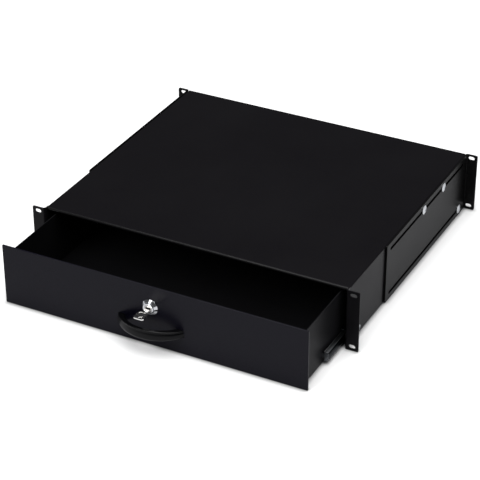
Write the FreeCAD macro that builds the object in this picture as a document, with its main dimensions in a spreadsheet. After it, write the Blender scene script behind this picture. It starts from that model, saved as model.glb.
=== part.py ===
import FreeCAD, Part
import Sketcher
import math
import os

# Sliding rack drawer, two rack units high, millimetres.
# Frame: origin at the centre of the front ears' front plane, +X to the right,
# +Y towards the back of the rack, +Z up.  Rest pose: drawer pulled open by
# "open_e", rear brackets at their shortest setting, lock unlocked, key in.

doc = FreeCAD.newDocument("sliding_rack_drawer")
sheet = doc.addObject("Spreadsheet::Sheet", "Sizes")

SIZES = [
    ("rack_w", 482.6), ("ear_h", 88.0), ("hole_dx", 465.1), ("hole_dz", 76.2),
    ("ear_slot_l", 9.2), ("ear_slot_w", 5.5),
    ("ch_half", 223.65), ("ch_th", 1.5), ("ch_top", 43.2), ("ch_bot", 43.6),
    ("ch_len", 404.8), ("ch_flange", 213.0), ("ear_bend", 1.55),
    ("lip_y", 6.5), ("lip_low", 40.0), ("lip_bend", 1.0),
    ("rear_th", 1.2), ("rear_tab", 14.8),
    ("open_e", 104.4),
    ("fas_w", 441.2), ("fas_h", 87.3), ("fas_th", 2.0), ("fas_round", 1.0),
    ("tray_half", 211.15), ("tray_th", 1.2), ("tray_top", 34.0), ("tray_low", 43.5),
    ("tray_len", 385.2), ("wall_top", 28.0), ("wall_tab", 14.0),
    ("sl_mid", 32.0), ("sl_y0", 8.0), ("sl_len", 350.0),
    ("so_half", 10.0), ("so_th", 1.0), ("so_in", 212.5),
    ("sm_half", 6.5), ("sm_th", 0.9), ("sm_in", 213.6), ("sm_out", 219.6),
    ("sm_y0", 9.2), ("sm_len", 339.8),
    ("si_half", 3.3), ("si_th", 0.9), ("si_web", 1.0), ("si_out", 216.9),
    ("si_y0", 61.6), ("si_len", 300.6), ("sm_round", 3.0), ("tab_half", 5.3), ("tab_out", 218.4),
    ("ball_a", 0.95), ("ball_a_z", 7.75), ("ball_a_x", 217.0),
    ("ball_b", 0.85), ("ball_b_z", 4.45), ("ball_b_x", 215.2),
    ("cage_y0", 100.0), ("cage_a_len", 158.0), ("cage_b_len", 170.0), ("cage_th", 0.5),
    ("br_in", 223.9), ("br_th", 2.2), ("br_y0", 120.3), ("br_y1", 406.5),
    ("br_half", 43.4), ("br_bend", 0.7), ("br_slot_w", 4.8), ("br_slot_y0", 131.0),
    ("br_slot_y1", 389.0), ("br_slot_z", 34.0),
    ("sc_ya", 246.0), ("sc_yb", 316.0), ("sc_yc", 382.0), ("sc_rad", 2.0),
    ("sc_gap", 0.12), ("head_rad", 6.4), ("head_th", 1.9), ("head_dome", 14.0),
    ("fs_head_rad", 5.0), ("fs_head_th", 1.6), ("fs_head_dome", 10.5),
    ("nut_th", 3.0), ("fs_y", 40.0), ("fs_z", 36.0),
    ("riv_ya", 200.0), ("riv_yb", 330.0), ("riv_rad", 2.0),
    ("bump_x", 150.0), ("bump_rad", 7.0), ("bump_len", 16.1), ("stem_rad", 3.0),
    ("lock_z", 13.1), ("lock_rad", 7.3), ("lock_front", 5.6), ("lock_back", 18.0),
    ("bore_rad", 5.70), ("plug_rad", 5.62), ("collar_rad", 11.2), ("collar_in", 8.1), ("collar_rim", 0.6), ("collar_th", 3.4),
    ("cam_len", 22.5), ("cam_half", 6.0), ("cam_th", 2.0), ("stub_rad", 4.0),
    ("key_th", 1.5), ("key_half", 3.4), ("bow_half", 7.4), ("bow_y0", 31.0), ("bow_y1", 14.5),
    ("way_half", 3.7), ("way_hz", 0.90), ("way_open", 2.5),
    ("han_half", 49.0), ("han_out", 28.0), ("han_low", 19.0), ("han_top", 4.5),
    ("han_end", 8.6), ("han_th", 6.2), ("han_foot", 3.0), ("han_sx", 42.5), ("han_sz", 14.6),
    ("keep_y", 14.5), ("keep_low", 31.0), ("keep_half", 20.0), ("keep_len", 15.5),
    ("stud_x", 190.0), ("stud_z", 18.0), ("stud_rad", 1.9), ("stud_len", 8.0),
]
NUM = {}
for i, (alias, val) in enumerate(SIZES):
    sheet.set("A%d" % (i + 1), alias)
    sheet.set("B%d" % (i + 1), repr(val))
    sheet.setAlias("B%d" % (i + 1), alias)
    NUM[alias] = val
doc.recompute()


class Q:
    """A size together with the sheet expression that gives it."""

    def __init__(self, v, e=None):
        self.v = float(v)
        self.e = e if e is not None else repr(float(v))
        self.c = e is None

    def _b(self, o, op, f):
        o = o if isinstance(o, Q) else Q(o)
        r = Q(f(self.v, o.v), "(%s %s %s)" % (self.e, op, o.e))
        r.c = self.c and o.c
        return r

    def __add__(self, o): return self._b(o, "+", lambda a, b: a + b)
    def __sub__(self, o): return self._b(o, "-", lambda a, b: a - b)
    def __mul__(self, o): return self._b(o, "*", lambda a, b: a * b)
    def __truediv__(self, o): return self._b(o, "/", lambda a, b: a / b)
    def __radd__(self, o): return Q(o) + self
    def __rsub__(self, o): return Q(o) - self
    def __rmul__(self, o): return Q(o) * self
    def __neg__(self): return Q(0) - self


def S(alias):
    return Q(NUM[alias], "Sizes." + alias)


def q(x):
    return x if isinstance(x, Q) else Q(x)


def setp(obj, prop, x):
    x = q(x)
    if not x.c:
        obj.setExpression(prop, x.e)
    return x.v


NODES = []
count = [0]


def nm(base):
    count[0] += 1
    return "%s_%d" % (base, count[0])


# ------------------------------------------------------------ Part helpers

def place(obj, x, y, z, rot=None):
    x, y, z = q(x), q(y), q(z)
    obj.Placement = FreeCAD.Placement(FreeCAD.Vector(x.v, y.v, z.v), rot or FreeCAD.Rotation())
    setp(obj, "Placement.Base.x", x)
    setp(obj, "Placement.Base.y", y)
    setp(obj, "Placement.Base.z", z)


def box(x0, x1, y0, y1, z0, z1):
    o = doc.addObject("Part::Box", nm("Box"))
    x0, x1, y0, y1, z0, z1 = map(q, (x0, x1, y0, y1, z0, z1))
    o.Length = (x1 - x0).v
    o.Width = (y1 - y0).v
    o.Height = (z1 - z0).v
    setp(o, "Length", x1 - x0)
    setp(o, "Width", y1 - y0)
    setp(o, "Height", z1 - z0)
    place(o, x0, y0, z0)
    return o


ROTS = {"x": FreeCAD.Rotation(FreeCAD.Vector(0, 1, 0), 90),
        "y": FreeCAD.Rotation(FreeCAD.Vector(1, 0, 0), -90),
        "z": FreeCAD.Rotation()}


def cyl(axis, rad, a, b, c, d):
    """Cylinder along axis from a to b; c and d are the other two centre coordinates."""
    o = doc.addObject("Part::Cylinder", nm("Cyl"))
    a, b, c, d, rad = map(q, (a, b, c, d, rad))
    o.Radius = rad.v
    o.Height = (b - a).v
    setp(o, "Radius", rad)
    setp(o, "Height", b - a)
    if axis == "x":
        place(o, a, c, d, ROTS["x"])
    elif axis == "y":
        place(o, c, a, d, ROTS["y"])
    else:
        place(o, c, d, a, ROTS["z"])
    return o


def hexa(rad, a, b, c, d):
    """Hexagonal prism along Y from a to b at x=c, z=d."""
    o = doc.addObject("Part::Prism", nm("Hex"))
    a, b, c, d, rad = map(q, (a, b, c, d, rad))
    o.Polygon = 6
    o.Circumradius = rad.v
    o.Height = (b - a).v
    setp(o, "Circumradius", rad)
    setp(o, "Height", b - a)
    place(o, c, a, d, ROTS["y"])
    return o


def fuse(*objs):
    o = doc.addObject("Part::MultiFuse", nm("Fuse"))
    o.Shapes = list(objs)
    o.Refine = True
    return o


def cut(base, *tools):
    o = doc.addObject("Part::Cut", nm("Cut"))
    o.Base = base
    o.Tool = tools[0] if len(tools) == 1 else fuse(*tools)
    return o


def fillet(base, rad, pick):
    """Rounds the edges of base that pick accepts (it is given the edge)."""
    doc.recompute()
    rad = q(rad)
    o = doc.addObject("Part::Fillet", nm("Fillet"))
    o.Base = base
    o.Edges = [(i + 1, rad.v, rad.v) for i, e in enumerate(base.Shape.Edges) if pick(e)]
    assert o.Edges, "no edge to round on " + base.Name
    return o


def group(name, objs):
    o = doc.addObject("Part::Compound", name)
    o.Links = list(objs)
    return node(o, name)


def node(o, name):
    o.Label = name
    NODES.append((name, o))
    return o


def mirror(src, name):
    o = doc.addObject("Part::Mirroring", name)
    o.Source = src
    o.Base = FreeCAD.Vector(0, 0, 0)
    o.Normal = FreeCAD.Vector(1, 0, 0)
    return node(o, name)


# ------------------------------------------------------ PartDesign helpers

def new_body(name):
    b = doc.addObject("PartDesign::Body", name)
    b.Placement = FreeCAD.Placement()
    return node(b, name)


def attach(body, sk, plane, off):
    off = q(off)
    for p in body.Origin.OriginFeatures:
        if p.Role == plane + "_Plane":
            sk.AttachmentSupport = [(p, "")]
    sk.MapMode = "FlatFace"
    sk.AttachmentOffset = FreeCAD.Placement(FreeCAD.Vector(0, 0, off.v), FreeCAD.Rotation())
    setp(sk, "AttachmentOffset.Base.z", off)


def dim(sk, kind, args, x):
    x = q(x)
    i = sk.addConstraint(Sketcher.Constraint(kind, *args, x.v))
    if not x.c:
        sk.setExpression("Constraints[%d]" % i, x.e)


def pin_point(sk, g, pos, u, v):
    u, v = q(u), q(v)
    if abs(u.v) < 1e-9 and u.c:
        sk.addConstraint(Sketcher.Constraint("PointOnObject", g, pos, -2))
    else:
        dim(sk, "DistanceX", (-1, 1, g, pos), u)
    if abs(v.v) < 1e-9 and v.c:
        sk.addConstraint(Sketcher.Constraint("PointOnObject", g, pos, -1))
    else:
        dim(sk, "DistanceY", (-1, 1, g, pos), v)


def sgn(x):
    return 0 if abs(x) < 1e-9 else (1 if x > 0 else -1)


def quarter(sk, cen, a, b):
    """Arc about cen between points a and b, the short way, drawn anticlockwise;
    returns it and which of its ends is at a."""
    ta = math.atan2(a.y - cen.y, a.x - cen.x)
    tb = math.atan2(b.y - cen.y, b.x - cen.x)
    turn = (tb - ta) % (2 * math.pi)
    first = 1
    if turn > math.pi + 1e-6:
        ta, turn, first = tb, 2 * math.pi - turn, 2
    c = Part.Circle(cen, FreeCAD.Vector(0, 0, 1), (a - cen).Length)
    return sk.addGeometry(Part.ArcOfCircle(c, ta, ta + turn), False), first


def loop(sk, pts):
    """Closed outline of axis-parallel or free lines; a third value rounds a corner
    between two axis-parallel lines."""
    n = len(pts)
    P = [(q(p[0]), q(p[1]), q(p[2]) if len(p) > 2 else None) for p in pts]
    V = FreeCAD.Vector
    starts, ends = [], []
    for i in range(n):
        a, b = P[i], P[(i + 1) % n]
        du, dv = sgn(b[0].v - a[0].v), sgn(b[1].v - a[1].v)
        s = (a[0], a[1])
        e = (b[0], b[1])
        if a[2] is not None:
            s = (a[0] + a[2] * du if du else a[0], a[1] + a[2] * dv if dv else a[1])
        if b[2] is not None:
            e = (b[0] - b[2] * du if du else b[0], b[1] - b[2] * dv if dv else b[1])
        starts.append(s)
        ends.append(e)
    line = []
    for i in range(n):
        s, e = starts[i], ends[i]
        line.append(sk.addGeometry(Part.LineSegment(V(s[0].v, s[1].v, 0), V(e[0].v, e[1].v, 0)), False))
    for i in range(n):
        j = (i + 1) % n
        if P[j][2] is None:
            sk.addConstraint(Sketcher.Constraint("Coincident", line[i], 2, line[j], 1))
            continue
        a = V(ends[i][0].v, ends[i][1].v, 0)
        b = V(starts[j][0].v, starts[j][1].v, 0)
        c = V(P[j][0].v, P[j][1].v, 0)
        g, first = quarter(sk, a + b - c, a, b)
        sk.addConstraint(Sketcher.Constraint("Coincident", line[i], 2, g, first))
        sk.addConstraint(Sketcher.Constraint("Coincident", line[j], 1, g, 3 - first))
        dim(sk, "Radius", (g,), P[j][2])
    for i in range(n):
        pin_point(sk, line[i], 1, *starts[i])
        if P[(i + 1) % n][2] is not None:
            pin_point(sk, line[i], 2, *ends[i])


def circle(sk, u, v, r):
    u, v, r = q(u), q(v), q(r)
    g = sk.addGeometry(Part.Circle(FreeCAD.Vector(u.v, v.v, 0), FreeCAD.Vector(0, 0, 1), r.v), False)
    pin_point(sk, g, 3, u, v)
    dim(sk, "Radius", (g,), r)


def slot(sk, u0, u1, v, w):
    """Rounded slot along the sketch's horizontal, tip to tip from u0 to u1, width w."""
    u0, u1, v, w = q(u0), q(u1), q(v), q(w)
    r = w / 2
    V = FreeCAD.Vector
    a, b = u0 + r, u1 - r
    l1 = sk.addGeometry(Part.LineSegment(V(a.v, v.v - r.v, 0), V(b.v, v.v - r.v, 0)), False)
    up = FreeCAD.Vector(0, 0, 1)
    a1 = sk.addGeometry(Part.ArcOfCircle(Part.Circle(V(b.v, v.v, 0), up, r.v), -math.pi / 2, math.pi / 2), False)
    l2 = sk.addGeometry(Part.LineSegment(V(b.v, v.v + r.v, 0), V(a.v, v.v + r.v, 0)), False)
    a2 = sk.addGeometry(Part.ArcOfCircle(Part.Circle(V(a.v, v.v, 0), up, r.v), math.pi / 2, 3 * math.pi / 2), False)
    pin_point(sk, l1, 1, a, v - r)
    pin_point(sk, l1, 2, b, v - r)
    pin_point(sk, l2, 1, b, v + r)
    pin_point(sk, l2, 2, a, v + r)
    for g, s, e, cu in ((a1, (l1, 2), (l2, 1), b), (a2, (l2, 2), (l1, 1), a)):
        sk.addConstraint(Sketcher.Constraint("Coincident", s[0], s[1], g, 1))
        sk.addConstraint(Sketcher.Constraint("Coincident", e[0], e[1], g, 2))
        dim(sk, "DistanceX", (-1, 1, g, 3), cu)


def pad(body, plane, a, b, draw):
    """Adds the outline between coordinates a < b along the plane's normal axis."""
    a, b = q(a), q(b)
    sk = body.newObject("Sketcher::SketchObject", nm("Sketch"))
    attach(body, sk, plane, -b if plane == "XZ" else a)
    draw(sk)
    p = body.newObject("PartDesign::Pad", nm("Pad"))
    p.Profile = sk
    p.Length = (b - a).v
    setp(p, "Length", b - a)
    doc.recompute()
    body.Tip = p
    return p


def pocket(body, plane, a, b, draw):
    """Removes the outline between coordinates a < b along the plane's normal axis."""
    a, b = q(a), q(b)
    doc.recompute()
    before = body.Shape.Volume
    sk = body.newObject("Sketcher::SketchObject", nm("Sketch"))
    attach(body, sk, plane, -a if plane == "XZ" else b)
    draw(sk)
    p = body.newObject("PartDesign::Pocket", nm("Pocket"))
    p.Profile = sk
    p.Length = (b - a).v
    setp(p, "Length", b - a)
    doc.recompute()
    body.Tip = p
    doc.recompute()
    assert body.Shape.Volume < before - 1e-3, "pocket cut nothing in " + body.Name
    return p


def dress(body, kind, size, pick):
    """Fillet or Chamfer on the edges of the current tip that pick accepts."""
    doc.recompute()
    tip = body.Tip
    names = ["Edge%d" % (i + 1) for i, e in enumerate(tip.Shape.Edges) if pick(e)]
    assert names, "no edge to dress on " + body.Name
    f = body.newObject("PartDesign::" + kind, nm(kind))
    f.Base = (tip, names)
    size = q(size)
    prop = "Radius" if kind == "Fillet" else "Size"
    setattr(f, prop, size.v)
    setp(f, prop, size)
    doc.recompute()
    body.Tip = f
    return f


def is_line(e, axis):
    c = e.Curve
    if not isinstance(c, Part.Line) and c.TypeId != "Part::GeomLine":
        return False
    d = (e.Vertexes[-1].Point - e.Vertexes[0].Point)
    i = "xyz".index(axis)
    o = [abs(d[k]) for k in range(3) if k != i]
    return max(o) < 1e-6 and abs(d[i]) > 1e-6


def near(a, b):
    return abs(a - b) < 1e-4


# common derived sizes
E = S("open_e")
H = S("ch_half")
T = S("ch_th")
HI = H - T
TOP = S("ch_top")
BOT = -S("ch_bot")
EW = S("rack_w") / 2
EH = S("ear_h") / 2
HX = S("hole_dx") / 2
HZ = S("hole_dz") / 2
FP = -E                       # front face of the front panel
FB = FP + S("fas_th")         # its back face
ZS = -S("sl_mid")             # centre height of the slides

# ---------------------------------------------------------------- chassis
# One folded sheet: top, two sides, inward bottom flanges, front ears bent out.
shell = new_body("chassis_shell")


def d_shell(sk):
    F = S("ch_flange")
    ro, ri = T + 0.5, 0.5
    loop(sk, [(-F, BOT), (-H, BOT, ro), (-H, TOP, ro), (H, TOP, ro), (H, BOT, ro), (F, BOT),
              (F, BOT + T), (HI, BOT + T, ri), (HI, TOP - T, ri), (-HI, TOP - T, ri),
              (-HI, BOT + T, ri), (-F, BOT + T)])


LY = S("lip_y")
pad(shell, "XZ", LY + T + S("lip_bend"), S("ch_len"), d_shell)
EB = S("ear_bend")
for s in (1, -1):
    def d_side(sk, s=s):
        loop(sk, [(HI * s, EB + T), (H * s, EB + T), (H * s, LY + 4), (HI * s, LY + 4)])

    def d_ear(sk, s=s):
        loop(sk, [(HI * s, EB + T + 0.6), (HI * s, 0, EB + T), (EW * s, 0), (EW * s, T),
                  (H * s, T, EB), (H * s, EB + T + 0.6)])
    pad(shell, "XY", BOT, TOP, d_side)
    pad(shell, "XY", -EH, EH, d_ear)


def d_lip(sk):
    ri = S("lip_bend")
    loop(sk, [(LY, S("lip_low")), (LY, TOP, ri + T), (LY + 5, TOP), (LY + 5, TOP - T),
              (LY + T, TOP - T, ri), (LY + T, S("lip_low"))])


pad(shell, "YZ", -HI, HI, d_lip)
SL, SW = S("ear_slot_l"), S("ear_slot_w")


def ear_slots(sk, sides):
    for s in sides:
        for k in (1, -1):
            slot(sk, HX * s - SL / 2, HX * s + SL / 2, HZ * k, SW)


pocket(shell, "XZ", -1, 3, lambda sk: ear_slots(sk, (1, -1)))


def d_side_holes(sk):
    for y in ("sc_ya", "sc_yb"):
        circle(sk, S(y), S("br_slot_z"), S("sc_rad"))
    circle(sk, S("sc_yc"), -S("br_slot_z"), S("sc_rad"))
    circle(sk, S("fs_y"), -S("fs_z"), S("sc_rad"))
    for y in ("riv_ya", "riv_yb"):
        circle(sk, S(y), ZS, S("riv_rad"))


pocket(shell, "YZ", -H - 2, H + 2, d_side_holes)
dress(shell, "Fillet", 2.0, lambda e: is_line(e, "y") and near(abs(e.Vertexes[0].X), NUM["rack_w"] / 2)
      and near(abs(e.Vertexes[0].Z), NUM["ear_h"] / 2))

# Rear panel with forward tabs, welded between the sides.
rear = new_body("rear_panel")
RP = HI - 0.05
RT = S("rear_th")
L = S("ch_len")
RY = L - S("rear_tab")


def d_rear(sk):
    loop(sk, [(-RP, RY), (-RP, L, RT + 0.6), (RP, L, RT + 0.6), (RP, RY), (RP - RT, RY),
              (RP - RT, L - RT, 0.6), (-RP + RT, L - RT, 0.6), (-RP + RT, RY)])


pad(rear, "XY", BOT + T + 0.05, TOP - T - 0.05, d_rear)
pocket(rear, "XZ", L - 3, L + 1, lambda sk: [circle(sk, S("bump_x") * k, 0, S("stem_rad")) for k in (1, -1)])

# Keeper angle under the top: the lock's cam turns up behind it.
keeper = new_body("lock_keeper")
KY = S("keep_y")


def d_keeper(sk):
    z = TOP - T
    loop(sk, [(KY, S("keep_low")), (KY, z, 1.9), (KY + S("keep_len"), z), (KY + S("keep_len"), z - 1.5),
              (KY + 1.5, z - 1.5, 0.4), (KY + 1.5, S("keep_low"))])


pad(keeper, "YZ", -S("keep_half"), S("keep_half"), d_keeper)

# Rubber stops on the rear panel.
bumps = []
for k in (1, -1):
    x = S("bump_x") * k
    y1 = L - RT
    pad_ = fillet(cyl("y", S("bump_rad"), y1 - S("bump_len"), y1, x, 0), 1.5,
                  lambda e: len(e.Vertexes) == 1 and near(e.Vertexes[0].Y, NUM["ch_len"] - NUM["rear_th"] - NUM["bump_len"]))
    bumps.append(fuse(pad_, cyl("y", S("stem_rad"), y1 - 2, L + 0.5, x, 0),
                      cyl("y", S("stem_rad") + 1.2, L, L + 1.5, x, 0)))
group("rear_bumpers", bumps)

# ------------------------------------------------------------ ball slides


def c_loop(x_in, x_out, half, web, fl, ro, ri):
    """C channel open towards the drawer, centred on the slide height; ro and ri are the bend radii."""
    def draw(sk):
        loop(sk, [(x_in, ZS - half), (x_out, ZS - half, ro), (x_out, ZS + half, ro), (x_in, ZS + half),
                  (x_in, ZS + half - fl), (x_out - web, ZS + half - fl, ri), (x_out - web, ZS - half + fl, ri),
                  (x_in, ZS - half + fl)])
    return draw


so = new_body("slide_outer_right")
pad(so, "XZ", S("sl_y0"), S("sl_y0") + S("sl_len"), c_loop(S("so_in"), HI, S("so_half"), S("so_th"), S("so_th"), Q(1.3), Q(0.3)))


def d_so_holes(sk):
    circle(sk, S("fs_y"), -S("fs_z"), S("sc_rad"))
    for y in ("riv_ya", "riv_yb"):
        circle(sk, S(y), ZS, S("riv_rad"))


pocket(so, "YZ", HI - 2, HI + 1, d_so_holes)
mirror(so, "slide_outer_left")

sm = new_body("slide_middle_right")
SMY = S("sm_y0") - E / 2
pad(sm, "XZ", SMY, SMY + S("sm_len"), c_loop(S("sm_in"), S("sm_out"), S("sm_half"), S("sm_th"), S("sm_th"),
                                                S("sm_round"), S("sm_round") - S("sm_th")))
pocket(sm, "YZ", S("sm_out") - 2, S("sm_out") + 1,
       lambda sk: [circle(sk, SMY + S("sm_len") * f, ZS, 3) for f in (0.2, 0.5, 0.8)])
mirror(sm, "slide_middle_left")

si = new_body("slide_inner_right")
SIY = S("si_y0") - E
XW = S("tray_half")


def d_si(sk):
    h, t, w = S("si_half"), S("si_th"), S("si_web")
    loop(sk, [(XW, ZS - h), (S("si_out"), ZS - h), (S("si_out"), ZS - h + t), (XW + w, ZS - h + t),
              (XW + w, ZS + h - t), (S("si_out"), ZS + h - t), (S("si_out"), ZS + h), (XW, ZS + h)])


pad(si, "XZ", SIY, SIY + S("si_len"), d_si)
# Stop tab bent across the front end of the channel.
pad(si, "XZ", SIY, SIY + 1.2, lambda sk: loop(sk, [
    (XW, ZS - S("si_half")), (S("sm_in") + 0.3, ZS - S("si_half")), (S("sm_in") + 0.3, ZS - S("tab_half")),
    (S("tab_out"), ZS - S("tab_half"), 1.8), (S("tab_out"), ZS + S("tab_half"), 1.8),
    (S("sm_in") + 0.3, ZS + S("tab_half")), (S("sm_in") + 0.3, ZS + S("si_half")), (XW, ZS + S("si_half"))]))
RIV_IN = [SIY + 20, SIY + S("si_len") / 2, SIY + S("si_len") - 20]
pocket(si, "YZ", XW - 1, XW + 2, lambda sk: [circle(sk, y, ZS, 1.4) for y in RIV_IN])
mirror(si, "slide_inner_left")


def cage(name, x_in, x_out, zc, length, move, bx, hole, balls):
    """U-shaped ball retainer with a row of balls top and bottom."""
    t = S("cage_th")
    y0 = S("cage_y0") - E * move
    b = new_body(name + "_right")

    def draw(sk):
        o, i = zc + t / 2, zc - t / 2
        loop(sk, [(x_in, ZS - o), (x_out, ZS - o), (x_out, ZS + o), (x_in, ZS + o),
                  (x_in, ZS + i), (x_out - t, ZS + i), (x_out - t, ZS - i), (x_in, ZS - i)])
    pad(b, "XZ", y0, y0 + length, draw)
    n = 10
    ys = [y0 + length * ((k + 0.5) / n) for k in range(n)]
    pocket(b, "XY", ZS - 12, ZS + 12, lambda sk: [circle(sk, bx, y, hole) for y in ys])
    mirror(b, name + "_left")
    for side, s in (("right", 1), ("left", -1)):
        out = []
        for y in ys:
            for k in (1, -1):
                o = doc.addObject("Part::Sphere", nm("Ball"))
                o.Radius = balls.v
                setp(o, "Radius", balls)
                place(o, bx * s, y, ZS + zc * k)
                out.append(o)
        group(name.replace("cage", "balls") + "_" + side, out)


cage("slide_cage_outer", Q(214.2), HI - S("so_th") - 0.5, S("ball_a_z"), S("cage_a_len"), 0.25,
     S("ball_a_x"), S("ball_a") + 0.2, S("ball_a"))
cage("slide_cage_inner", Q(213.2), S("si_out") + 1.15, S("ball_b_z"), S("cage_b_len"), 0.75,
     S("ball_b_x"), S("ball_b") + 0.2, S("ball_b"))

# ---------------------------------------------------- rear mounting brackets
br = new_body("rear_bracket_right")
BI = S("br_in")
BT = S("br_th")
BO = BI + BT
BY0, BY1 = S("br_y0"), S("br_y1")
BH = S("br_half")


def d_br(sk):
    loop(sk, [(BI, BY0), (BO, BY0), (BO, BY1 - BT, S("br_bend")), (EW, BY1 - BT), (EW, BY1),
              (BI, BY1, S("br_bend") + BT)])


pad(br, "XY", -BH, BH, d_br)


def d_br_slots(sk):
    for k in (1, -1):
        slot(sk, S("br_slot_y0"), S("br_slot_y1"), S("br_slot_z") * k, S("br_slot_w"))


pocket(br, "YZ", BI - 2, BO + 1, d_br_slots)
pocket(br, "XZ", BY1 - 4, BY1 + 1, lambda sk: ear_slots(sk, (1,)))
dress(br, "Fillet", 2.0, lambda e: (is_line(e, "y") and near(e.Vertexes[0].X, NUM["rack_w"] / 2))
      or (is_line(e, "x") and near(e.Vertexes[0].Y, NUM["br_y0"])))
mirror(br, "rear_bracket_left")


# ------------------------------------------------------------- fasteners

def recess(s, face, y, z, w, l, depth):
    """Cross recess tools for a head facing +X (s=1) or -X (s=-1)."""
    a, b = (face - depth, face + 1) if s > 0 else (face - 1, face + depth)
    return [box(a, b, y - l, y + l, z - w, z + w), box(a, b, y - w, y + w, z - l, z + l)]


def side_screw(s, y, z, seat, tail, hr, hh, dome):
    """Truss-head screw through the side wall: seat is where the low domed head sits."""
    lo, hi = (seat, seat + hh) if s > 0 else (-seat - hh, -seat)
    ball = doc.addObject("Part::Sphere", nm("Dome"))
    ball.Radius = dome.v
    setp(ball, "Radius", dome)
    place(ball, hi - dome if s > 0 else lo + dome, y, z,
          FreeCAD.Rotation(FreeCAD.Vector(0, 0, 1), 0 if s > 0 else 180))
    head = doc.addObject("Part::Common", nm("Head"))
    head.Base = cyl("x", hr, lo, hi, y, z)
    head.Tool = ball
    shank = cyl("x", S("sc_rad"), tail, seat + 0.5, y, z) if s > 0 else cyl("x", S("sc_rad"), -seat - 0.5, -tail, y, z)
    return cut(fuse(head, shank), *recess(s, hi if s > 0 else lo, y, z, 0.5, 2.4, 1.1))


BRP = [(S("sc_ya"), S("br_slot_z")), (S("sc_yb"), S("br_slot_z")), (S("sc_yc"), -S("br_slot_z"))]
seat = BO + S("sc_gap")
screws, nuts = [], []
for s in (1, -1):
    for y, z in BRP:
        screws.append(side_screw(s, y, z, seat, HI - S("nut_th") - 1.2, S("head_rad"), S("head_th"), S("head_dome")))
        a, b = (HI - S("nut_th"), HI) if s > 0 else (-HI, -HI + S("nut_th"))
        nuts.append(cut(cyl("x", 4.5, a, b, y, z), cyl("x", S("sc_rad"), a - 1, b + 1, y, z)))
group("bracket_screws", screws)
group("bracket_clinch_nuts", nuts)

fs, rv = [], []
for s in (1, -1):
    fs.append(side_screw(s, S("fs_y"), -S("fs_z"), H, HI - S("so_th") + 0.1, S("fs_head_rad"), S("fs_head_th"),
                         S("fs_head_dome")))
    for y in ("riv_ya", "riv_yb"):
        a, b = (HI - S("so_th"), H) if s > 0 else (-H, -HI + S("so_th"))
        rv.append(cyl("x", S("riv_rad"), a, b, S(y), ZS))
group("slide_screws", fs)
group("slide_rivets", rv)

ri_ = []
for s in (1, -1):
    for y in RIV_IN:
        xi, xo = XW - S("tray_th"), XW + S("si_web")
        if s > 0:
            ri_.append(fuse(cyl("x", 1.4, xi - 0.4, xo + 0.4, y, ZS), cyl("x", 2.2, xi - 0.8, xi, y, ZS),
                            cyl("x", 2.2, xo, xo + 0.8, y, ZS)))
        else:
            ri_.append(fuse(cyl("x", 1.4, -xo - 0.4, -xi + 0.4, y, ZS), cyl("x", 2.2, -xi, -xi + 0.8, y, ZS),
                            cyl("x", 2.2, -xo - 0.8, -xo, y, ZS)))
group("slide_inner_rivets", ri_)

# ----------------------------------------------------------------- drawer
# Tray: floor and two side walls from one sheet.
tray = new_body("drawer_tray")
TT = S("tray_th")
TL = -S("tray_low")


def d_tray(sk):
    W = XW
    loop(sk, [(-W, S("tray_top")), (-W, TL, TT + 0.4), (W, TL, TT + 0.4), (W, S("tray_top")),
              (W - TT, S("tray_top")), (W - TT, TL + TT, 0.4), (-W + TT, TL + TT, 0.4), (-W + TT, S("tray_top"))])


pad(tray, "XZ", FB, FB + S("tray_len"), d_tray)
pocket(tray, "YZ", -XW - 2, XW + 2, lambda sk: [circle(sk, y, ZS, 1.4) for y in RIV_IN])

WX = XW - TT - 0.05
LZ = S("lock_z")
LR = S("lock_rad")


def wall(name, ya, yb, yt, z1):
    """Cross wall with side tabs: ya outer face, yb inner face, yt tab end."""
    b = new_body(name)

    def draw(sk):
        loop(sk, [(-WX, yt), (-WX, ya, TT + 0.6), (WX, ya, TT + 0.6), (WX, yt), (WX - TT, yt),
                  (WX - TT, yb, 0.6), (-WX + TT, yb, 0.6), (-WX + TT, yt)])
    pad(b, "XY", TL + TT + 0.05, z1, draw)
    return b


fwall = wall("drawer_front_wall", FB, FB + TT, FB + S("wall_tab"), S("wall_top"))


def d_fw(sk):
    circle(sk, 0, LZ, LR + 0.1)
    for s in (1, -1):
        circle(sk, S("han_sx") * s, -S("han_sz"), 1.6)
        for k in (1, -1):
            circle(sk, S("stud_x") * s, S("stud_z") * k, S("stud_rad") + 0.2)


pocket(fwall, "XZ", FB - 1, FB + 3, d_fw)
TY1 = FB + S("tray_len")
wall("drawer_back", TY1, TY1 - TT, TY1 - S("wall_tab"), Q(30))

panel = new_body("front_panel")
PW, PH = S("fas_w") / 2, S("fas_h") / 2


def d_panel(sk):
    r = S("fas_round")
    loop(sk, [(-PW, -PH, r), (-PW, PH, r), (PW, PH, r), (PW, -PH, r)])


pad(panel, "XZ", FP, FB, d_panel)
dress(panel, "Fillet", 0.4, lambda e: near(e.BoundBox.YMin, -NUM["open_e"]) and near(e.BoundBox.YMax, -NUM["open_e"]))


def d_panel_holes(sk):
    circle(sk, 0, LZ, LR + 0.1)
    for s in (1, -1):
        circle(sk, S("han_sx") * s, -S("han_sz"), 1.6)


pocket(panel, "XZ", FP - 1, FB + 1, d_panel_holes)


def d_studs(sk):
    for s in (1, -1):
        for k in (1, -1):
            circle(sk, S("stud_x") * s, S("stud_z") * k, S("stud_rad"))


pad(panel, "XZ", FB - 0.5, FB + S("stud_len"), d_studs)

pn = []
for s in (1, -1):
    for k in (1, -1):
        x, z = S("stud_x") * s, S("stud_z") * k
        y0 = FB + TT
        pn.append(cut(fuse(cyl("y", 4.6, y0, y0 + 0.8, x, z), hexa(3.9, y0 + 0.5, y0 + 3.4, x, z)),
                      cyl("y", S("stud_rad"), y0 - 1, y0 + 5, x, z)))
group("panel_nuts", pn)

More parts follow.
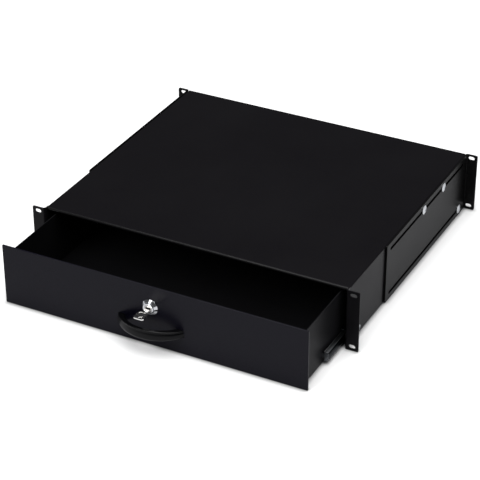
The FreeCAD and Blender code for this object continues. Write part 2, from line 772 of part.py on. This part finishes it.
# Bow handle: closed sections lofted round an arc, lower towards the ends.
HS = doc.addObject("Part::Feature", "handle_loft")


def handle_shape():
    g = lambda a: float(sheet.get(a))
    half, out = g("han_half"), g("han_out")
    R = (half * half + out * out) / (2 * out)
    cy = -g("open_e") - out + R
    th, low = g("han_th"), -g("han_low")
    drop = g("han_end") - g("han_top")
    Rt = (half * half + drop * drop) / (2 * drop)
    amax = math.asin(half / R) + math.radians(9)
    wires = []
    n = 19
    for i in range(n):
        a = -amax + 2 * amax * i / (n - 1)
        x = min(abs(R * math.sin(a)), half)
        top = -g("han_top") - (Rt - math.sqrt(Rt * Rt - x * x))
        hh = top - low
        mid = low + hh / 2
        # rounded lower edge, face leaning back to a groove, bead along the top; thicker towards the feet
        k, m = hh / 14.5, 0.6 + 0.4 * hh / 14.5
        u = min(max((abs(a) - math.radians(14)) / math.radians(40), 0.0), 1.0)
        t = th + g("han_foot") * u * u * (3 - 2 * u)
        prof = [(-2.9, low), (-1.7, low + 0.25), (-0.75, low + 0.9 * k), (-0.2, low + 2.0 * k), (0.0, low + 3.3 * k),
                (-0.25, low + 5.2 * k), (-0.75, low + 7.6 * k), (-1.35, low + 9.7 * k), (-1.85, top - 3.1 * m),
                (-1.85, top - 2.4 * m), (-1.3, top - 1.85 * m), (-1.0, top - 1.2 * m), (-1.25, top - 0.5 * m),
                (-1.9, top - 0.08), (-2.8, top),
                (-t + 1.2, top), (-t + 0.35, top - 0.35), (-t, top - 1.3), (-t, mid), (-t, low + 1.3),
                (-t + 0.35, low + 0.35), (-t + 1.2, low), ((-t - 1.9) / 2, low)]
        pts = []
        for r, z in prof:
            rr = R + r
            pts.append(FreeCAD.Vector(rr * math.sin(a), cy - rr * math.cos(a), z))
        bs = Part.BSplineCurve()
        bs.interpolate(Points=pts, PeriodicFlag=True)
        wires.append(Part.Wire([bs.toShape()]))
    s = Part.makeLoft(wires, True, False)
    s = s.cut(Part.makeBox(200, 60, 60, FreeCAD.Vector(-100, -g("open_e"), -40)))
    for k in (1, -1):
        s = s.cut(Part.makeCylinder(1.4, 5.2, FreeCAD.Vector(k * g("han_sx"), -g("open_e") - 4.7, -g("han_sz")),
                                    FreeCAD.Vector(0, 1, 0)))
    return s


HS.Shape = handle_shape()
HS.Placement = FreeCAD.Placement()
node(HS, "handle")

hs = []
for s in (1, -1):
    x, z = S("han_sx") * s, -S("han_sz")
    y0 = FB + TT
    head = fillet(cyl("y", 3.0, y0, y0 + 2.0, x, z), 0.9,
                  lambda e: len(e.Vertexes) == 1 and near(e.Vertexes[0].Y, (FB + TT + 2.0).v))
    scr = fuse(head, cyl("y", 1.4, FP - 4.3, y0 + 0.5, x, z))
    hs.append(cut(scr, box(x - 1.5, x + 1.5, y0 + 1.1, y0 + 3, z - 0.35, z + 0.35),
                  box(x - 0.35, x + 0.35, y0 + 1.1, y0 + 3, z - 1.5, z + 1.5)))
group("handle_screws", hs)

# ------------------------------------------------------------------ lock
yf = FP - S("lock_front")
yb = FP + S("lock_back")
rim = fillet(cyl("y", LR + 0.3, yf, yf + 1.6, 0, LZ), 0.45,
             lambda e: len(e.Vertexes) == 1)
lb = cut(fuse(rim, cyl("y", LR, yf + 0.8, yb, 0, LZ)), cyl("y", S("bore_rad"), yf - 1, yb + 1, 0, LZ))
lb.Label = "lock_body_raw"
lb = fillet(lb, 0.35, lambda e: len(e.Vertexes) == 1 and near(e.Vertexes[0].Y, yf.v) and near(e.Curve.Radius, NUM["bore_rad"]))
node(lb, "lock_barrel")

# Conical bezel seated on the panel round the barrel.
C0 = FP - S("collar_th")
C1 = FP - S("collar_rim")
cone = doc.addObject("Part::Cone", "Bezel")
cone.Radius1 = S("collar_in").v
cone.Radius2 = S("collar_rad").v
cone.Height = (C1 - C0).v
setp(cone, "Radius1", S("collar_in"))
setp(cone, "Radius2", S("collar_rad"))
setp(cone, "Height", C1 - C0)
place(cone, 0, C0, LZ, ROTS["y"])
ring = fillet(fuse(cone, cyl("y", S("collar_rad"), C1, FP, 0, LZ)), 0.3,
              lambda e: len(e.Vertexes) == 1 and (near(e.Vertexes[0].Y, C0.v) or near(e.Vertexes[0].Y, C1.v)))
ring = cut(ring, cyl("y", LR, FP - 10, FP + 5, 0, LZ))
node(ring, "lock_collar")

y0 = FB + TT
node(cut(hexa(10.8, y0, y0 + 4, 0, LZ), cyl("y", LR, y0 - 1, y0 + 6, 0, LZ)), "lock_nut")

# Plug, cam and cam screw turn together.
CY0 = yb + 0.2
CY1 = CY0 + S("cam_th")
plug = fuse(cyl("y", S("plug_rad"), yf + 0.25, CY0, 0, LZ), cyl("y", S("stub_rad"), CY0 - 1, CY1, 0, LZ))
plug = cut(plug, box(-S("way_half"), S("way_half"), yf - 1, FP + 10, LZ - S("way_hz"), LZ + S("way_hz")),
           box(-S("way_half"), S("way_half"), yf - 1, yf + 3.2, LZ - S("way_open"), LZ + S("way_open")),
           cyl("y", 1.5, CY1 - 6, CY1 + 1, 0, LZ))
node(plug, "lock_plug")

cam = new_body("lock_cam")


def d_cam(sk):
    slot(sk, -S("cam_len"), S("cam_half") + 1.5, LZ, S("cam_half") * 2)


pad(cam, "XZ", CY0, CY1, d_cam)
pocket(cam, "XZ", CY0 - 1, CY1 + 1, lambda sk: circle(sk, 0, LZ, S("stub_rad")))

chead = fillet(cyl("y", 4.6, CY1, CY1 + 2.2, 0, LZ), 1.0,
               lambda e: len(e.Vertexes) == 1 and near(e.Vertexes[0].Y, (CY1 + 2.2).v))
node(cut(fuse(chead, cyl("y", 1.5, CY1 - 6, CY1 + 0.5, 0, LZ)),
         box(-1.8, 1.8, CY1 + 1.2, CY1 + 3, LZ - 0.4, LZ + 0.4),
         box(-0.4, 0.4, CY1 + 1.2, CY1 + 3, LZ - 1.8, LZ + 1.8)), "cam_screw")

# Flat key lying in the horizontal keyway.
key = new_body("key")
KT = S("key_th")
KB0, KB1 = FP - S("bow_y0"), FP - S("bow_y1")
KH = S("key_half")
BHF = S("bow_half")


def d_bow(sk):
    loop(sk, [(-BHF, KB0, 3.0), (BHF, KB0, 3.0), (BHF, KB1, 4.6), (-BHF, KB1, 4.6)])


def d_blade(sk):
    t = FP + 9
    loop(sk, [(-KH, KB1 - 3), (KH, KB1 - 3), (KH, FP - 3), (KH - 1.2, FP - 1.5), (KH - 1.2, FP - 0.5), (KH, FP + 1),
              (KH - 0.7, FP + 2), (KH - 0.7, FP + 3), (KH - 1.6, FP + 4.5), (KH - 1.6, FP + 5.3), (KH - 0.4, FP + 6.5),
              (1.2, t), (-1.2, t), (-KH + 0.4, FP + 6.5), (-KH + 1.6, FP + 5.3), (-KH + 1.6, FP + 4.5),
              (-KH + 0.7, FP + 3), (-KH + 0.7, FP + 2), (-KH, FP + 1), (-KH + 1.2, FP - 0.5), (-KH + 1.2, FP - 1.5),
              (-KH, FP - 3)])


pad(key, "XY", LZ - KT / 2 - 0.1, LZ + KT / 2 + 0.1, d_bow)
pad(key, "XY", LZ - KT / 2, LZ + KT / 2, d_blade)
for a, b in ((LZ + KT / 2 + 0.1 - 0.3, LZ + KT / 2 + 1), (LZ - KT / 2 - 1, LZ - KT / 2 - 0.1 + 0.3)):
    def d_rec(sk):
        i = 1.5
        loop(sk, [(-BHF + i, KB0 + i, 2), (BHF - i, KB0 + i, 2), (BHF - i, KB1 - i, 3.1), (-BHF + i, KB1 - i, 3.1)])
        circle(sk, 0, (KB0 + KB1) / 2, 3.6)
    pocket(key, "XY", a, b, d_rec)
pocket(key, "XY", LZ - 3, LZ + 3, lambda sk: circle(sk, 0, KB0 + 2.9, 1.1))

# ---------------------------------------------------------- check and write
doc.recompute()
bad = []
for o in doc.Objects:
    if "Invalid" in o.State or "Error" in o.State:
        bad.append((o.Name, o.State))
print("objects", len(doc.Objects), "bad", bad)
os.makedirs("parts", exist_ok=True)
for name, o in NODES:
    sh = o.Shape
    ok = (not sh.isNull()) and sh.isValid()
    bb = sh.BoundBox
    print("%-24s solids %2d vol %10.1f valid %s  x %.2f..%.2f y %.2f..%.2f z %.2f..%.2f"
          % (name, len(sh.Solids), sh.Volume, ok, bb.XMin, bb.XMax, bb.YMin, bb.YMax, bb.ZMin, bb.ZMax))
    if not ok:
        bad.append((name, "shape"))
    sh.exportStep("parts/%s.step" % name)
assert not bad, bad
print("wrote", len(NODES))
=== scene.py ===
import math
import bpy
import bmesh
from mathutils import Matrix, Vector


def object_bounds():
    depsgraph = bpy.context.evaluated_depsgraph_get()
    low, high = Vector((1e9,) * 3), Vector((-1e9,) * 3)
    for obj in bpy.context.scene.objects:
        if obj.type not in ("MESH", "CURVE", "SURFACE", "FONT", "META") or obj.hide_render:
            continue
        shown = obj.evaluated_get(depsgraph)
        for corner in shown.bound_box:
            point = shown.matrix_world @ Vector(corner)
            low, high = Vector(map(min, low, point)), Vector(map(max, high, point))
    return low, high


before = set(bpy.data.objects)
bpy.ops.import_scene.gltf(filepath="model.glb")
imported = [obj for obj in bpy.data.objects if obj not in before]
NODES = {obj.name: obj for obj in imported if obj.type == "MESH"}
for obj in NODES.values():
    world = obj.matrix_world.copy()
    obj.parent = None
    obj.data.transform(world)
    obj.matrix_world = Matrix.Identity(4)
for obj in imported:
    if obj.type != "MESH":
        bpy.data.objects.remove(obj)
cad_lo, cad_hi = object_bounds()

scene = bpy.context.scene
scene.view_settings.view_transform = "Standard"
scene.view_settings.look = "None"

# ------------------------------------------------------------ node helpers


class Mat:
    """A node material: one Principled shader plus short helpers to wire textures in object space."""

    def __init__(self, name, **sockets):
        self.m = bpy.data.materials.new(name)
        self.m.use_nodes = True
        self.t = self.m.node_tree
        self.t.nodes.clear()
        self.out = self.n("ShaderNodeOutputMaterial")
        self.p = self.n("ShaderNodeBsdfPrincipled")
        self.link(self.p.outputs[0], self.out.inputs["Surface"])
        self.co = self.n("ShaderNodeTexCoord").outputs["Object"]
        for k, v in sockets.items():
            self.p.inputs[k.replace("_", " ")].default_value = v
        self.normal = None

    def n(self, kind, **props):
        node = self.t.nodes.new(kind)
        for k, v in props.items():
            setattr(node, k, v)
        return node

    def link(self, a, b):
        self.t.links.new(a, b)
        return b

    def scaled(self, sx, sy, sz):
        """Object coordinates stretched per axis."""
        mp = self.n("ShaderNodeMapping")
        self.link(self.co, mp.inputs["Vector"])
        mp.inputs["Scale"].default_value = (sx, sy, sz)
        return mp.outputs[0]

    def noise(self, scale, detail=2.0, rough=0.5, co=None, w=0.0):
        nd = self.n("ShaderNodeTexNoise")
        nd.noise_dimensions = "4D" if w else "3D"
        self.link(co or self.co, nd.inputs["Vector"])
        nd.inputs["Scale"].default_value = scale
        nd.inputs["Detail"].default_value = detail
        nd.inputs["Roughness"].default_value = rough
        if w:
            nd.inputs["W"].default_value = w
        return nd.outputs["Fac"]

    def cells(self, scale, co=None, feature="F1"):
        nd = self.n("ShaderNodeTexVoronoi", feature=feature)
        self.link(co or self.co, nd.inputs["Vector"])
        nd.inputs["Scale"].default_value = scale
        return nd.outputs["Distance"]

    def span(self, fac, a0, a1, b0, b1):
        """Maps fac from a0..a1 to b0..b1, clamped."""
        mr = self.n("ShaderNodeMapRange")
        self.link(fac, mr.inputs["Value"])
        for k, v in (("From Min", a0), ("From Max", a1), ("To Min", b0), ("To Max", b1)):
            mr.inputs[k].default_value = v
        return mr.outputs["Result"]

    def ramp(self, fac, *stops):
        cr = self.n("ShaderNodeValToRGB")
        self.link(fac, cr.inputs["Fac"])
        el = cr.color_ramp.elements
        while len(el) < len(stops):
            el.new(0.5)
        for e, (pos, col) in zip(el, stops):
            e.position = pos
            e.color = (*col, 1.0)
        return cr.outputs["Color"]

    def mix(self, fac, a, b):
        """Colour mix; fac is a socket or a number, a and b sockets or colours."""
        mx = self.n("ShaderNodeMix", data_type="RGBA")
        for name, v in (("Factor", fac), ("A", a), ("B", b)):
            sock = [s for s in mx.inputs if s.name == name and (s.type == "RGBA" or name == "Factor") and s.enabled][0]
            if isinstance(v, bpy.types.NodeSocket):
                self.link(v, sock)
            else:
                sock.default_value = v if name == "Factor" else (*v, 1.0)
        return [s for s in mx.outputs if s.type == "RGBA" and s.enabled][0]

    def math(self, op, a, b=None):
        mt = self.n("ShaderNodeMath", operation=op)
        for i, v in enumerate((a, b)):
            if v is None:
                continue
            if isinstance(v, bpy.types.NodeSocket):
                self.link(v, mt.inputs[i])
            else:
                mt.inputs[i].default_value = v
        return mt.outputs[0]

    def bump(self, height, strength, distance):
        b = self.n("ShaderNodeBump")
        b.inputs["Strength"].default_value = strength
        b.inputs["Distance"].default_value = distance
        self.link(height, b.inputs["Height"])
        if self.normal is not None:
            self.link(self.normal, b.inputs["Normal"])
        self.normal = b.outputs["Normal"]
        self.link(self.normal, self.p.inputs["Normal"])

    def set(self, socket, value):
        self.link(value, self.p.inputs[socket])

    def xyz(self):
        """Object coordinates one by one, x without its sign."""
        sp = self.n("ShaderNodeSeparateXYZ")
        self.link(self.co, sp.inputs[0])
        return self.math("ABSOLUTE", sp.outputs[0]), sp.outputs[1], sp.outputs[2], sp.outputs[0]

    def times(self, *vals):
        out = vals[0]
        for v in vals[1:]:
            out = self.math("MULTIPLY", out, v)
        return out

    def gain(self, col, fac):
        """Colour times a factor."""
        vm = self.n("ShaderNodeVectorMath", operation="SCALE")
        self.link(col, vm.inputs[0])
        self.link(fac, vm.inputs["Scale"])
        return vm.outputs[0]


def powder(name, dark, light, r0, r1, level, grain=1500.0, peel=260.0, bump=0.35, vary=None):
    """Black powder coat: fine grain over soft orange peel, uneven gloss, a faint dusty speckle."""
    m = Mat(name, Metallic=0.0, Specular_IOR_Level=level)
    cloud = m.noise(7.0, 4.0, 0.55)
    fine = m.noise(grain, 2.0, 0.6)
    col = m.ramp(cloud, (0.30, dark), (0.70, light))
    speck = m.span(m.noise(grain * 0.55, 1.0, 0.5, w=3.7), 0.66, 0.80, 0.0, 0.35)
    base = m.mix(speck, col, tuple(min(1.0, c * 2.6 + 0.004) for c in light))
    m.set("Base Color", vary(m, base) if vary else base)
    m.set("Roughness", m.math("ADD", m.span(cloud, 0.3, 0.7, r0, r1), m.span(fine, 0.3, 0.7, -0.04, 0.04)))
    m.bump(m.noise(peel, 2.0, 0.5, w=1.3), bump * 0.5, 0.00012)
    m.bump(fine, bump, 0.00005)
    return m.m


def metal(name, a, b, r0, r1, grain=900.0, stretch=(1, 1, 1), bump=0.12, blotch=60.0, metallic=1.0, level=0.5,
          vary=None):
    """Plated or bare metal: blotchy tone, directional fine lines, uneven roughness."""
    m = Mat(name, Metallic=metallic, Specular_IOR_Level=level)
    tone = m.noise(blotch, 3.0, 0.6)
    lines = m.noise(grain, 2.0, 0.6, co=m.scaled(*stretch))
    base = m.ramp(m.math("ADD", m.math("MULTIPLY", tone, 0.7), m.math("MULTIPLY", lines, 0.3)),
                  (0.32, a), (0.68, b))
    m.set("Base Color", vary(m, base) if vary else base)
    m.set("Roughness", m.span(m.math("ADD", m.math("MULTIPLY", tone, 0.5), m.math("MULTIPLY", lines, 0.5)),
                              0.3, 0.7, r0, r1))
    m.bump(lines, bump, 0.00003)
    return m.m



def coat_painted_highlights(m, base):
    """Painted highlight along the top front lip, a lighter colour with more specular level towards +x, and a painted
    sheen on the left ear.
    """
    ax, y, z, x = m.xyz()
    # painted highlight: the lip strip is mixed to a lighter colour and gets more specular level, rising towards +x
    lip_highlight = m.times(m.span(y, 0.0072, 0.0080, 1.0, 0.0), m.span(z, 0.0398, 0.0404, 0.0, 1.0), m.span(y, 0.0050, 0.0060, 0.0, 1.0),
                  m.span(m.noise(60.0, 3.0, 0.6, w=2.1), 0.3, 0.7, 0.75, 1.0))
    # painted sheen: the left ear alone gets extra specular level
    left_ear_sheen = m.times(m.span(x, -0.2216, -0.2220, 0.0, 1.0), m.span(y, 0.0012, 0.0016, 1.0, 0.0))
    m.set("Specular IOR Level", m.math("ADD", m.math("ADD", m.times(left_ear_sheen, 0.045), m.times(lip_highlight, m.span(x, -0.16, -0.05, 0.04, 0.13))), 0.070))
    return m.mix(lip_highlight, base, (0.0075, 0.0075, 0.0080))


def panel_edge_painted_highlight(m, base):
    """Painted highlight: a lighter colour along the top edge of the drawer face, stronger towards +x."""
    ax, y, z, x = m.xyz()
    # painted highlight along the top edge
    return m.mix(m.times(m.span(z, 0.0430, 0.0434, 0.0, 1.0), m.span(x, -0.19, -0.06, 0.2, 1.0)), base, (0.0068, 0.0066, 0.0098))


def tray_painted_light(m, base):
    """Inside of the tray: painted light and shade, the coat colour darker towards the front and lighter towards the
    back.
    """
    ax, y, z, x = m.xyz()
    inside = m.span(ax, 0.2104, 0.2108, 1.0, 0.0)
    # painted light and shade: colour gain from 0.48 at the front to 1.35 at the back, inside the tray only
    depth_light_gain = m.span(y, 0.02, 0.09, 0.48, 1.35)
    depth_light_gain = m.math("ADD", m.times(inside, depth_light_gain), m.math("SUBTRACT", 1.0, inside))
    return m.gain(base, depth_light_gain)


def race_burnish_and_painted_light(m, base):
    """Top band of the race: bright edges with a grey strip between, partly burnished metal and partly painted
    highlight, brightest at the front end; web painted darker towards the top as painted shade; front end face set to
    one grey.
    """
    ax, y, z, x = m.xyz()
    top = m.span(z, -0.0268, -0.0262, 0.0, 1.0)
    # painted shade: the web's colour and specular tint go darker towards the top
    web_painted_shade = m.gain(base, m.span(z, -0.0375, -0.0280, 0.75, 0.20))
    m.set("Specular Tint", m.math("MAXIMUM", m.span(z, -0.0370, -0.0285, 0.86, 0.50), top))
    # bright edges of the top band: partly burnished race, partly a painted highlight
    edge = m.math("ADD", m.span(ax, 0.2139, 0.2145, 1.0, 0.0), m.span(z, -0.0263, -0.0260, 1.0, 0.0))
    race = m.mix(edge, (0.24, 0.25, 0.26), (0.80, 0.83, 0.85))
    # painted highlight at the front end of the race, fading to painted shade further back
    race = m.gain(race, m.span(y, -0.030, -0.012, 1.25, 0.45))
    side = m.mix(top, web_painted_shade, race)
    return m.mix(m.span(y, -0.0424, -0.0421, 1.0, 0.0), side, (0.17, 0.18, 0.19))


def plug_painted_shade(m, base):
    """Bright front face; keyway and barrel side behind it in a dark painted shade."""
    ax, y, z, x = m.xyz()
    # painted shade: everything behind the front face is mixed to near black
    return m.mix(m.span(y, -0.1096, -0.1092, 0.0, 1.0), base, (0.030, 0.029, 0.028))


COAT = powder("powder_coat_black", (0.0046, 0.0042, 0.0051), (0.0056, 0.0052, 0.0061), 0.28, 0.35, 0.070, vary=coat_painted_highlights)
PANEL = powder("powder_coat_panel", (0.0022, 0.0018, 0.0056), (0.0030, 0.0026, 0.0066), 0.26, 0.33, 0.150, vary=panel_edge_painted_highlight)
TRAY = powder("powder_coat_tray", (0.0080, 0.0079, 0.0088), (0.0096, 0.0095, 0.0104), 0.28, 0.35, 0.055, vary=tray_painted_light)
BRACKET = powder("powder_coat_bracket", (0.0034, 0.0034, 0.0034), (0.0044, 0.0044, 0.0044), 0.28, 0.35, 0.070)
ZINC = metal("zinc_plate", (0.66, 0.68, 0.70), (0.84, 0.86, 0.88), 0.22, 0.38)
# lighter zinc for the slides' bevelled edges: partly bare sheared edge, partly a painted highlight
BARE_EDGE_AND_HIGHLIGHT = metal("zinc_edge", (0.52, 0.56, 0.60), (0.74, 0.78, 0.82), 0.20, 0.34)
SLIDE = metal("slide_dark_zinc", (0.022, 0.027, 0.033), (0.045, 0.054, 0.064), 0.24, 0.36, stretch=(1, 0.04, 1))
RACE = metal("slide_race_zinc", (0.022, 0.027, 0.033), (0.045, 0.054, 0.064), 0.24, 0.36, stretch=(1, 0.04, 1), vary=race_burnish_and_painted_light)
CAGE = metal("cage_spring_steel", (0.30, 0.31, 0.33), (0.44, 0.45, 0.47), 0.24, 0.40, stretch=(1, 0.05, 1))
BALL = metal("ball_bearing_steel", (0.70, 0.71, 0.73), (0.80, 0.81, 0.83), 0.06, 0.12, bump=0.02)
CHROME = metal("lock_chrome", (0.62, 0.63, 0.65), (0.74, 0.75, 0.77), 0.05, 0.11, bump=0.03, blotch=300.0)
NICKEL = metal("key_nickel", (0.74, 0.73, 0.71), (0.88, 0.87, 0.85), 0.10, 0.20, bump=0.08, blotch=220.0)
PLUG = metal("lock_plug_nickel", (0.46, 0.45, 0.44), (0.58, 0.57, 0.56), 0.10, 0.18, bump=0.06, blotch=240.0, vary=plug_painted_shade)


def plastic(name, dark, light, r0, r1, level):
    """Spark-eroded black plastic: fine pebble grain and a soft uneven gloss."""
    m = Mat(name, Metallic=0.0, Specular_IOR_Level=level)
    cloud = m.noise(40.0, 3.0, 0.55)
    m.set("Base Color", m.ramp(cloud, (0.3, dark), (0.7, light)))
    pebble = m.cells(2600.0)
    m.set("Roughness", m.math("ADD", m.span(cloud, 0.3, 0.7, r0, r1), m.span(pebble, 0.0, 0.8, 0.03, -0.03)))
    m.bump(pebble, 0.22, 0.00004)
    m.bump(m.noise(900.0, 2.0, 0.5), 0.15, 0.00005)
    return m.m


HANDLE = plastic("handle_plastic", (0.0014, 0.0014, 0.0017), (0.0022, 0.0022, 0.0026), 0.20, 0.27, 0.17)


def rubber(name):
    m = Mat(name, Metallic=0.0, Specular_IOR_Level=0.30)
    dust = m.noise(500.0, 4.0, 0.65)
    m.set("Base Color", m.ramp(dust, (0.35, (0.012, 0.012, 0.012)), (0.75, (0.022, 0.021, 0.020))))
    m.set("Roughness", m.span(dust, 0.3, 0.7, 0.62, 0.82))
    m.bump(dust, 0.3, 0.00008)
    return m.m


RUBBER = rubber("stop_rubber")

# -------------------------------------------------------------- CAD nodes

SMOOTH = bpy.data.node_groups.new("smooth_faces", "GeometryNodeTree")
SMOOTH.interface.new_socket(name="Geometry", in_out="INPUT", socket_type="NodeSocketGeometry")
SMOOTH.interface.new_socket(name="Geometry", in_out="OUTPUT", socket_type="NodeSocketGeometry")
_a, _b, _c = (SMOOTH.nodes.new(k) for k in ("NodeGroupInput", "GeometryNodeSetShadeSmooth", "NodeGroupOutput"))
SMOOTH.links.new(_a.outputs[0], _b.inputs[0])
SMOOTH.links.new(_b.outputs[0], _c.inputs[0])


def wear(name, *materials):
    """Gives a CAD node its materials."""
    ob = NODES[name]
    ob.data.materials.clear()
    for m in materials:
        ob.data.materials.append(m)
    return ob


def soften(name, width, segments=2, edge_slot=-1, angle=34.0):
    """Rounds the sheared edges of a sheet-metal node with modifiers."""
    ob = NODES[name]
    w = ob.modifiers.new("weld", "WELD")
    w.merge_threshold = 1e-6
    d = ob.modifiers.new("planes", "DECIMATE")
    d.decimate_type = "DISSOLVE"
    d.angle_limit = math.radians(0.5)
    ob.modifiers.new("smooth", "NODES").node_group = SMOOTH
    b = ob.modifiers.new("edges", "BEVEL")
    b.width = width
    b.segments = segments
    b.limit_method = "ANGLE"
    b.angle_limit = math.radians(angle)
    b.use_clamp_overlap = True
    b.material = edge_slot
    n = ob.modifiers.new("normals", "WEIGHTED_NORMAL")
    n.keep_sharp = False
    n.weight = 80
    return ob


for n in ("chassis_shell", "rear_panel", "lock_keeper"):
    wear(n, COAT)
    soften(n, 0.00022)
for n in ("drawer_tray", "drawer_front_wall", "drawer_back"):
    wear(n, TRAY)
    soften(n, 0.00022)
wear("front_panel", PANEL)
soften("front_panel", 0.00022)
for n in ("rear_bracket_left", "rear_bracket_right"):
    wear(n, BRACKET)
    soften(n, 0.00030)
for n in ("slide_outer_left", "slide_outer_right", "slide_middle_left", "slide_middle_right",
          "slide_inner_left", "slide_inner_right"):
    wear(n, SLIDE if "outer" in n else RACE, BARE_EDGE_AND_HIGHLIGHT)
    soften(n, 0.00038, 3, 1)
for n in ("slide_cage_outer_left", "slide_cage_outer_right", "slide_cage_inner_left", "slide_cage_inner_right"):
    wear(n, CAGE)
for n in ("slide_balls_outer_left", "slide_balls_outer_right", "slide_balls_inner_left", "slide_balls_inner_right"):
    wear(n, BALL)
for n in ("bracket_screws", "bracket_clinch_nuts", "slide_screws", "slide_rivets", "slide_inner_rivets", "panel_nuts", "handle_screws", "lock_nut", "lock_cam", "cam_screw"):
    wear(n, ZINC)
for n in ("lock_barrel", "lock_collar"):
    wear(n, CHROME)
wear("lock_plug", PLUG)
wear("key", NICKEL)
soften("key", 0.00020, 2)
wear("handle", HANDLE)
wear("rear_bumpers", RUBBER)

# ------------------------------------------------------------------ stage
# White paper that the camera sees at full white, and that the coated metal sees darker, as cut-out photographs have it.
fm = Mat("floor_paper", Metallic=0.0, Roughness=0.9, Specular_IOR_Level=0.05)
# painted contact shadow: the paper's colour is darkened by ambient occlusion near the object
ao = fm.n("ShaderNodeAmbientOcclusion", samples=16, only_local=False)
ao.inputs["Distance"].default_value = 0.007
ao_painted_shadow = fm.span(ao.outputs["AO"], 0.35, 1.0, 0.10, 1.0)
seen = fm.mix(ao_painted_shadow, (0.10, 0.10, 0.105), (0.93, 0.93, 0.93))
fm.set("Base Color", fm.mix(fm.n("ShaderNodeLightPath").outputs["Is Camera Ray"], (0.60, 0.60, 0.615), seen))
mesh = bpy.data.meshes.new("floor")
z = cad_lo[2] - 0.0001
s = 9.0
mesh.from_pydata([(-s, -s, z), (s, -s, z), (s, s, z), (-s, s, z)], [], [(0, 1, 2, 3)])
mesh.materials.append(fm.m)
floor = bpy.data.objects.new("floor", mesh)
scene.collection.objects.link(floor)


def area(name, where, at, size, power, colour=(1, 1, 1)):
    li = bpy.data.lights.new(name, "AREA")
    li.shape = "RECTANGLE"
    li.size, li.size_y = size
    li.energy = power
    li.color = colour
    ob = bpy.data.objects.new(name, li)
    ob.location = where
    ob.rotation_euler = (Vector(at) - Vector(where)).to_track_quat("-Z", "Y").to_euler()
    scene.collection.objects.link(ob)
    return ob


area("overhead", (0.3, -0.2, 2.6), (0.0, 0.1, 0.0), (3.2, 3.2), 140)
area("front_softbox", (-0.56, -1.55, 1.42), (0.0, -0.1, 0.0), (0.84, 0.85), 9)

world = bpy.data.worlds.new("studio")
world.use_nodes = True
scene.world = world
bg = world.node_tree.nodes["Background"]
bg.inputs["Color"].default_value = (0.95, 0.97, 1.0, 1.0)
bg.inputs["Strength"].default_value = 0.085

# ----------------------------------------------------------------- camera
cam = bpy.data.cameras.new("camera")
cam.sensor_width = 36.0
cam.angle = math.radians(15.2260)
cam.clip_start, cam.clip_end = 0.05, 50.0
co = bpy.data.objects.new("camera", cam)
look = Vector((-0.39563, 0.76102, -0.51412)).normalized()
up = Vector((-0.23506, 0.45725, 0.85772))
right = look.cross(up).normalized()
up = right.cross(look).normalized()
co.matrix_world = Matrix(((right.x, up.x, -look.x, 0.9740),
                          (right.y, up.y, -look.y, -1.7324),
                          (right.z, up.z, -look.z, 1.2462),
                          (0, 0, 0, 1)))
scene.collection.objects.link(co)
scene.camera = co
